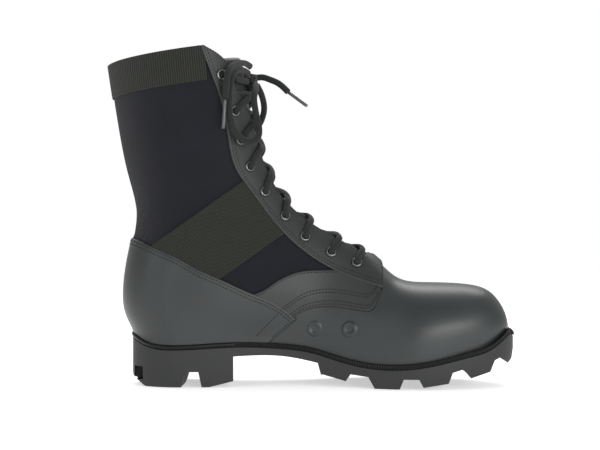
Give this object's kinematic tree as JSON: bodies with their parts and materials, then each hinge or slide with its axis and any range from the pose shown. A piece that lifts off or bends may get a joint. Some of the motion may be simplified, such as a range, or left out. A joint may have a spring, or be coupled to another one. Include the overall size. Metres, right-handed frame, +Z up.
{
  "type": "jungle boot",
  "caption": "Tall laced jungle boot with a black leather foot, canvas shaft, webbing collar and ankle strap, and a lugged rubber sole.",
  "frame": {"origin": "on the floor under the centre of the boot's box, without its free laces", "axes": "+X towards the toe, +Y to the lateral side, +Z up"},
  "size_m": [0.3242, 0.1109, 0.2661],
  "materials": {
    "rubber": "matt black moulded rubber with a glossy rim",
    "leather": "black leather, satin to semi-gloss",
    "facing": "black leather, satin",
    "canvas": "dark woven canvas; the vamp in front of it is leather",
    "webbing": "dark ribbed webbing",
    "foam": "black fabric-covered inner sole",
    "black_metal": "black painted brass eyelets, worn bright",
    "cord": "dark woven lace",
    "tip": "light grey crimped tip"
  },
  "bodies": {
    "root": {"ankle_strap_lateral": "webbing", "ankle_strap_medial": "webbing", "collar_band": "webbing", "eyelet_lateral_1": "black_metal", "eyelet_lateral_2": "black_metal", "eyelet_lateral_3": "black_metal", "eyelet_lateral_4": "black_metal", "eyelet_lateral_5": "black_metal", "eyelet_lateral_6": "black_metal", "eyelet_lateral_7": "black_metal", "eyelet_lateral_8": "black_metal", "eyelet_lateral_9": "black_metal", "eyelet_medial_1": "black_metal", "eyelet_medial_2": "black_metal", "eyelet_medial_3": "black_metal", "eyelet_medial_4": "black_metal", "eyelet_medial_5": "black_metal", "eyelet_medial_6": "black_metal", "eyelet_medial_7": "black_metal", "eyelet_medial_8": "black_metal", "eyelet_medial_9": "black_metal", "eyestay_lateral": "facing", "eyestay_medial": "facing", "heel_quarter": "leather", "insole": "foam", "lace_crossing_2": "cord", "lace_crossing_3": "cord", "lace_crossing_4": "cord", "lace_crossing_5": "cord", "lace_crossing_6": "cord", "lace_crossing_7": "cord", "lace_crossing_8": "cord", "lace_crossing_9": "cord", "lace_end_lateral": "cord", "lace_end_medial": "cord", "lace_knot": "cord", "lace_loop_lateral": "cord", "lace_loop_medial": "cord", "lace_tip_lateral": "tip", "lace_tip_medial": "tip", "lace_top_lateral": "cord", "lace_top_medial": "cord", "outsole": "rubber", "saddle_lateral": "leather", "saddle_medial": "leather", "tongue": "facing", "upper": "canvas", "vent_1": "leather", "vent_2": "leather"}
  },
  "joints": []
}
